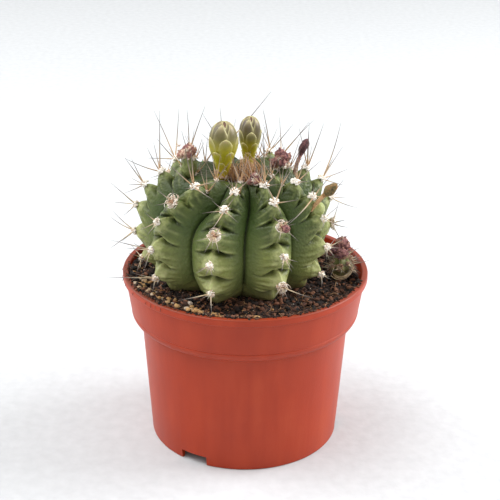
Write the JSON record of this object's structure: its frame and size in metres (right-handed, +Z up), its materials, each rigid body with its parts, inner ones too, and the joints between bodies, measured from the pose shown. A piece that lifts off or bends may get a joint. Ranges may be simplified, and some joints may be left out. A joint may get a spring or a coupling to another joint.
{
  "type": "potted round cactus",
  "caption": "Round ribbed cactus with woolly areoles, long spines and flower buds, growing in soil in a thin plastic nursery pot.",
  "frame": {"origin": "centre of the ring that the pot stands on, at the level of the surface under it", "axes": "+Z up along the pot's axis, -Y towards the side with the taller flower bud in front, +X to the right of it"},
  "size_m": [0.0889, 0.085, 0.1165],
  "materials": {
    "pot_plastic": "satin terracotta red-brown thermoformed polypropylene",
    "peat_soil": "dark crumbly peat with coir fibre, pale grit and ochre granules",
    "green_flesh": "green waxy cactus skin, paler on the rib crests",
    "wool_and_spines": "cream wool pads with bone-coloured spines",
    "young_spines": "copper-brown young spines with cream wool",
    "bud_scales": "waxy overlapping yellow-green scales with pale edges",
    "dried_petals": "dry papery maroon-brown petals"
  },
  "bodies": {
    "root": {"pot": "pot_plastic", "potting_soil": "peat_soil", "cactus_stem": "green_flesh", "areole_rib1_1": "wool_and_spines", "areole_rib1_2": "wool_and_spines", "areole_rib1_3": "wool_and_spines", "areole_rib1_4": "wool_and_spines", "areole_rib1_5": "wool_and_spines", "areole_rib2_1": "wool_and_spines", "areole_rib2_2": "wool_and_spines", "areole_rib2_3": "wool_and_spines", "areole_rib2_4": "wool_and_spines", "areole_rib2_5": "wool_and_spines", "areole_rib3_1": "wool_and_spines", "areole_rib3_2": "wool_and_spines", "areole_rib3_3": "wool_and_spines", "areole_rib3_4": "wool_and_spines", "areole_rib3_5": "wool_and_spines", "areole_rib4_1": "wool_and_spines", "areole_rib4_2": "wool_and_spines", "areole_rib4_3": "wool_and_spines", "areole_rib4_4": "wool_and_spines", "areole_rib4_5": "wool_and_spines", "areole_rib5_1": "wool_and_spines", "areole_rib5_2": "wool_and_spines", "areole_rib5_3": "wool_and_spines", "areole_rib5_4": "wool_and_spines", "areole_rib5_5": "wool_and_spines", "areole_rib6_1": "wool_and_spines", "areole_rib6_2": "wool_and_spines", "areole_rib6_3": "wool_and_spines", "areole_rib6_4": "wool_and_spines", "areole_rib6_5": "wool_and_spines", "areole_rib7_1": "wool_and_spines", "areole_rib7_2": "wool_and_spines", "areole_rib7_3": "wool_and_spines", "areole_rib7_4": "wool_and_spines", "areole_rib7_5": "wool_and_spines", "areole_rib8_1": "wool_and_spines", "areole_rib8_2": "wool_and_spines", "areole_rib8_3": "wool_and_spines", "areole_rib8_4": "wool_and_spines", "areole_rib8_5": "wool_and_spines", "areole_rib9_1": "wool_and_spines", "areole_rib9_2": "wool_and_spines", "areole_rib9_3": "wool_and_spines", "areole_rib9_4": "wool_and_spines", "areole_rib9_5": "wool_and_spines", "flower_bud_front": "bud_scales", "flower_bud_back": "bud_scales", "crown_spine_tuft": "young_spines", "dried_flower_left": "dried_petals", "dried_flower_middle": "dried_petals", "dried_flower_right": "dried_petals", "dried_flower_tall": "dried_petals", "dried_bud_low": "dried_petals", "offset_shoot": "green_flesh", "offset_bud_upper": "dried_petals", "offset_bud_front": "dried_petals", "offset_bud_side": "dried_petals"}
  },
  "joints": []
}
